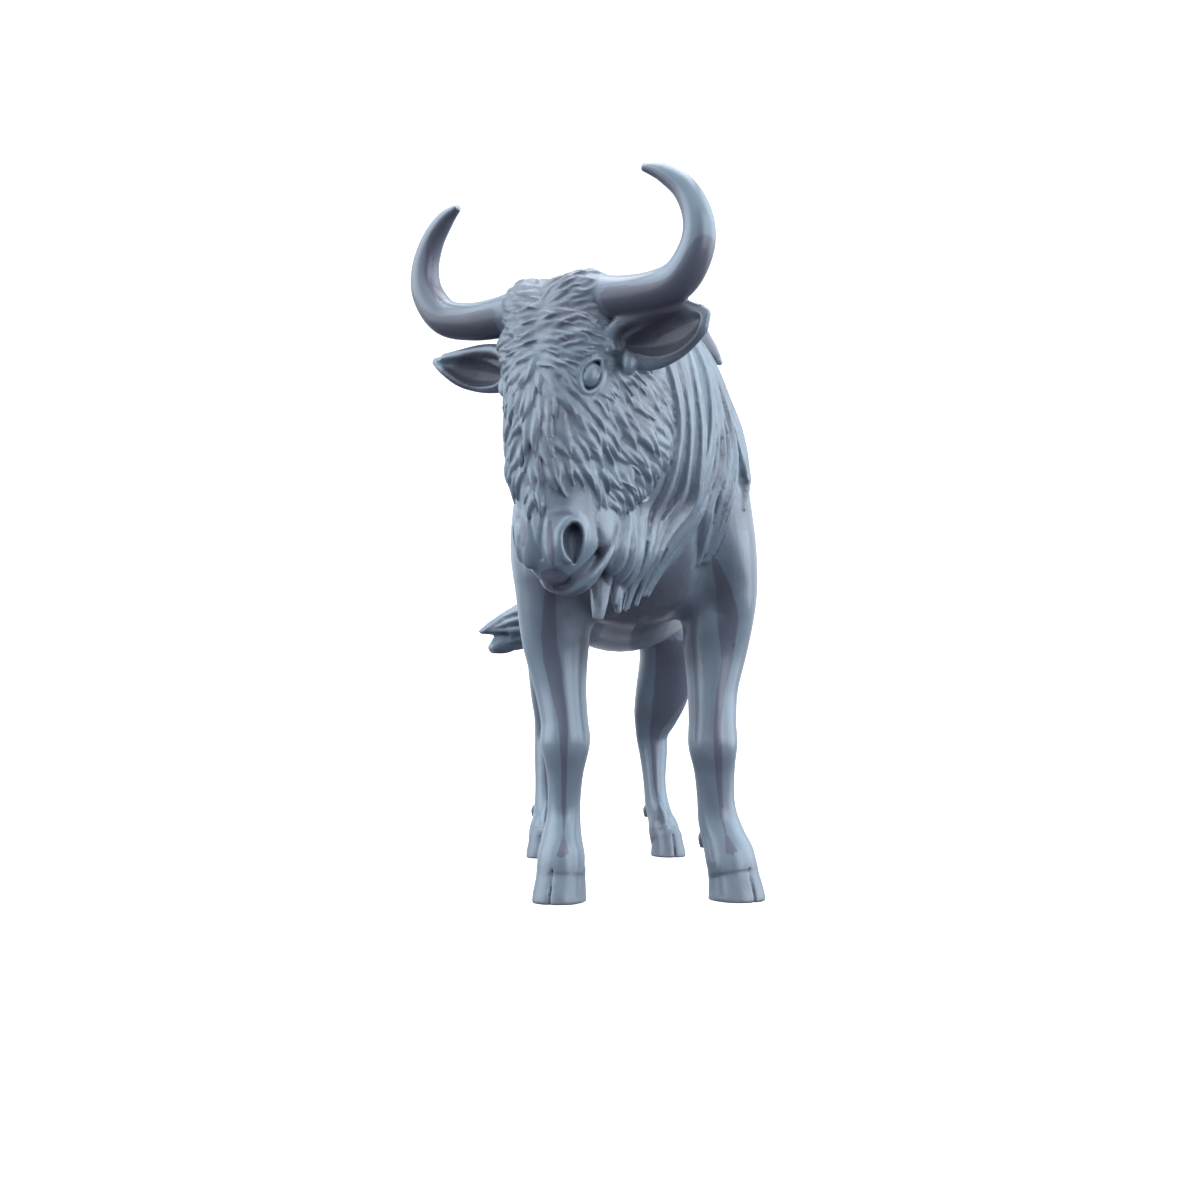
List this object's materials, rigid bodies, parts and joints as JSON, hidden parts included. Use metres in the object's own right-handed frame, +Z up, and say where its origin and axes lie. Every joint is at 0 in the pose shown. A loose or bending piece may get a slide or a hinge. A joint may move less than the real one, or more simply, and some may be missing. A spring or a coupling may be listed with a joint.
{
  "type": "wildebeest figurine",
  "caption": "Standing wildebeest figurine with curved horns, shaggy neck and a head dropped and turned to its right, cast in one piece.",
  "frame": {"origin": "on the ground, in the middle of the standing figure's box", "axes": "+Z up, -Y the way the body faces, +X the animal's own left"},
  "size_m": [0.0834, 0.2172, 0.1526],
  "materials": {
    "resin": "satin blue-grey cast resin"
  },
  "bodies": {
    "root": {"wildebeest": "resin"}
  },
  "joints": []
}
